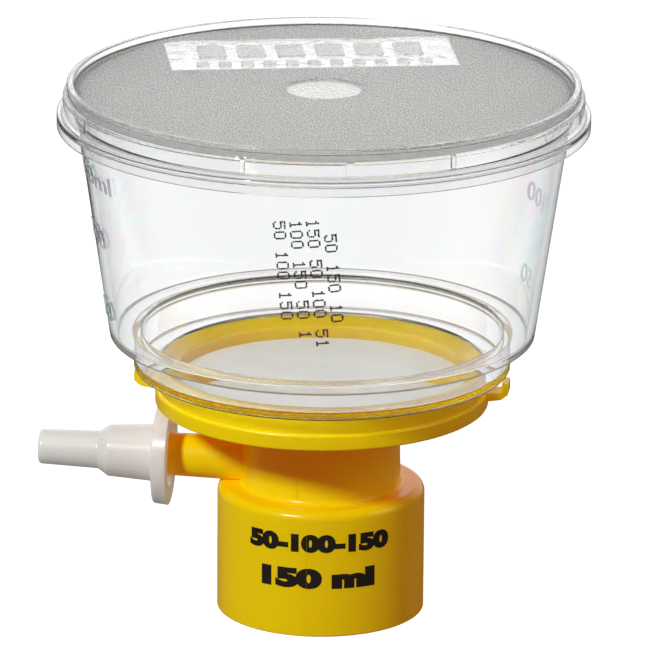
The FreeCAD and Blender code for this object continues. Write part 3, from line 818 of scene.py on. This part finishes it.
# Painted shade: the frost darkens in a ring round the dimple.
shade = ramp(add, from_axis, DIMPLE_R[1] * MM, DIMPLE_SHADE_R * MM, *DIMPLE_SHADE, smooth=True)
pit = blend(add, fine, blend(add, shade, DIMPLE_SHADE_PIT, FROST_PIT), FINE_PIT)
grey = blend(add, sparkle_speck, pit, FROST_SPARKLE_SPECK)
sheen_and_shade = add("Group", node_tree=stress_sheen_and_shade).outputs["Color"]
colour = corner_shaded(add, split, blend(add, frost, sheen_and_shade, grey), [FROST_EDGE_SHADE])
matt = ramp(add, fine, 0.0, 1.0, *FROST_ROUGH)
rough = add("Mix", {"Factor": frost, "A": LID_POLISH, "B": matt}, data_type="FLOAT").outputs["Result"]
waves = maths(add, "MULTIPLY", noise_value(add, place, PANEL_FLOW, 0.0, Distortion=2.0), panel)
grains = maths(add, "MULTIPLY", sand, frost)
height = maths(add, "MULTIPLY_ADD", waves, PANEL_WAVES, grains)
clear_look(add, colour, rough, bumped(add, height, 0.6, 0.00012), LID_SHADOW, LID_RIM_POWER)
nodes["lid"].material_slots[0].material = frosted_styrene


# ---- Cotton plug. A wad of loose white cotton pushed into the side arm's mouth, where it keeps dust
# out of the vacuum line: hundreds of fine fibres, tangled and pressed together.
WAD_FIBRES = 260
WAD_SEED = 5
WAD_FILL = 0.93                # the fibres' reach, as a share of the plug's radius
WAD_HALF_LONG = 0.46           # half the wad's length, as a share of the plug's
FIBRE_R = 0.035
FIBRE_SIDES = 3
FIBRE_STEPS = 14
FIBRE_BENDS = 2.2              # how often a fibre bends, and kinks, over its length
FIBRE_KINKS = 6.0
KINK_SIZE = 0.4                # size of the kinks against the bends
FIBRE_SPREAD = 2.2             # how far fibres wander, across the bore and along it
FIBRE_STRAY = 1.1
FIBRE_TWIST = 0.5              # radians that a fibre's section turns from step to step
FIBRE_LEAN = 0.4               # how far its section leans along the arm
COTTON_DULL = (0.80, 0.79, 0.76, 1)
COTTON_PALE = (0.93, 0.93, 0.91, 1)

cotton, add = new_material("cotton_fibre")
fuzz = noise_value(add, add("TexCoord").outputs["Object"], 1800.0, 3.0)
surfaced(add, {"Base Color": blend(add, fuzz, COTTON_DULL, COTTON_PALE), "Roughness": 0.85,
               "Sheen Weight": 0.3})

low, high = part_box("cotton_plug")
low, high = Vector(low), Vector(high)
wad_middle = (low + high) / 2
wad_r = (high.y - low.y) / 2
wad_long = high.x - low.x
rng = random.Random(WAD_SEED)
noise.seed_set(WAD_SEED)       # without a seed, the noise's vectors follow the clock
verts, faces = [], []
for _ in range(WAD_FIBRES):
    phase = rng.uniform(0, 100)
    ring_start = len(verts)
    for step in range(FIBRE_STEPS):
        share = step / (FIBRE_STEPS - 1)
        bends = noise.noise_vector(Vector((phase, share * FIBRE_BENDS, 0)))
        kinks = noise.noise_vector(Vector((phase, share * FIBRE_KINKS, 9)))
        wander = bends + kinks * KINK_SIZE
        spread = Vector((wander.y, wander.z)) * wad_r * FIBRE_SPREAD
        if spread.length > wad_r * WAD_FILL:
            spread = spread.normalized() * wad_r * WAD_FILL
        along = wander.x * wad_long * FIBRE_STRAY
        along = max(-wad_long * WAD_HALF_LONG, min(wad_long * WAD_HALF_LONG, along))
        spot = wad_middle + Vector((along, spread.x, spread.y))
        for k in range(FIBRE_SIDES):
            turn = 2 * math.pi * k / FIBRE_SIDES + step * FIBRE_TWIST
            section = Vector((FIBRE_LEAN * math.sin(turn), math.cos(turn), math.sin(turn)))
            verts.append(spot + section * FIBRE_R * MM)
    for step in range(FIBRE_STEPS - 1):
        a = ring_start + step * FIBRE_SIDES
        b = a + FIBRE_SIDES
        for k in range(FIBRE_SIDES):
            j = (k + 1) % FIBRE_SIDES
            faces.append((a + k, a + j, b + j, b + k))
wad_mesh = bpy.data.meshes.new("cotton_wad")
wad_mesh.from_pydata(verts, [], faces)
wad = new_piece("cotton_wad", wad_mesh, cotton, "base")
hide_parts("cotton_plug")


# ---- Tubing adapter. A satin white polypropylene moulding with a flange and a tapered stem, pushed
# over the side arm; the mould left a slightly waxy, faintly mottled skin.
WAX_PALE = (0.74, 0.725, 0.69, 1)
WAX_DEEP = (0.68, 0.67, 0.64, 1)
WAX_PAINTED_GLOW = (1.0, 0.98, 0.95, 1)   # painted glow: emission that lifts the adapter's shade
WAX_PAINTED_GLOW_STRENGTH = 0.13

white_polypropylene, add = new_material("white_polypropylene")
skin = add("Group", {"Grain": 1500.0, "Flow": 90.0, "Roughness": 0.24, "Spread": 0.12},
           node_tree=moulded_skin).outputs
# The emission is a painted glow that brightens the adapter's shaded side.
surfaced(add, {"Base Color": blend(add, skin["Mask"], WAX_PALE, WAX_DEEP),
               "Roughness": skin["Roughness"], "IOR": 1.49,
               "Subsurface Weight": 0.5, "Subsurface Scale": 0.004,
               "Subsurface Radius": (1.0, 0.9, 0.8),
               "Emission Color": WAX_PAINTED_GLOW, "Emission Strength": WAX_PAINTED_GLOW_STRENGTH,
               "Normal": bumped(add, skin["Height"], 0.3, 0.00003)})
nodes["tubing_adapter"].material_slots[0].material = white_polypropylene
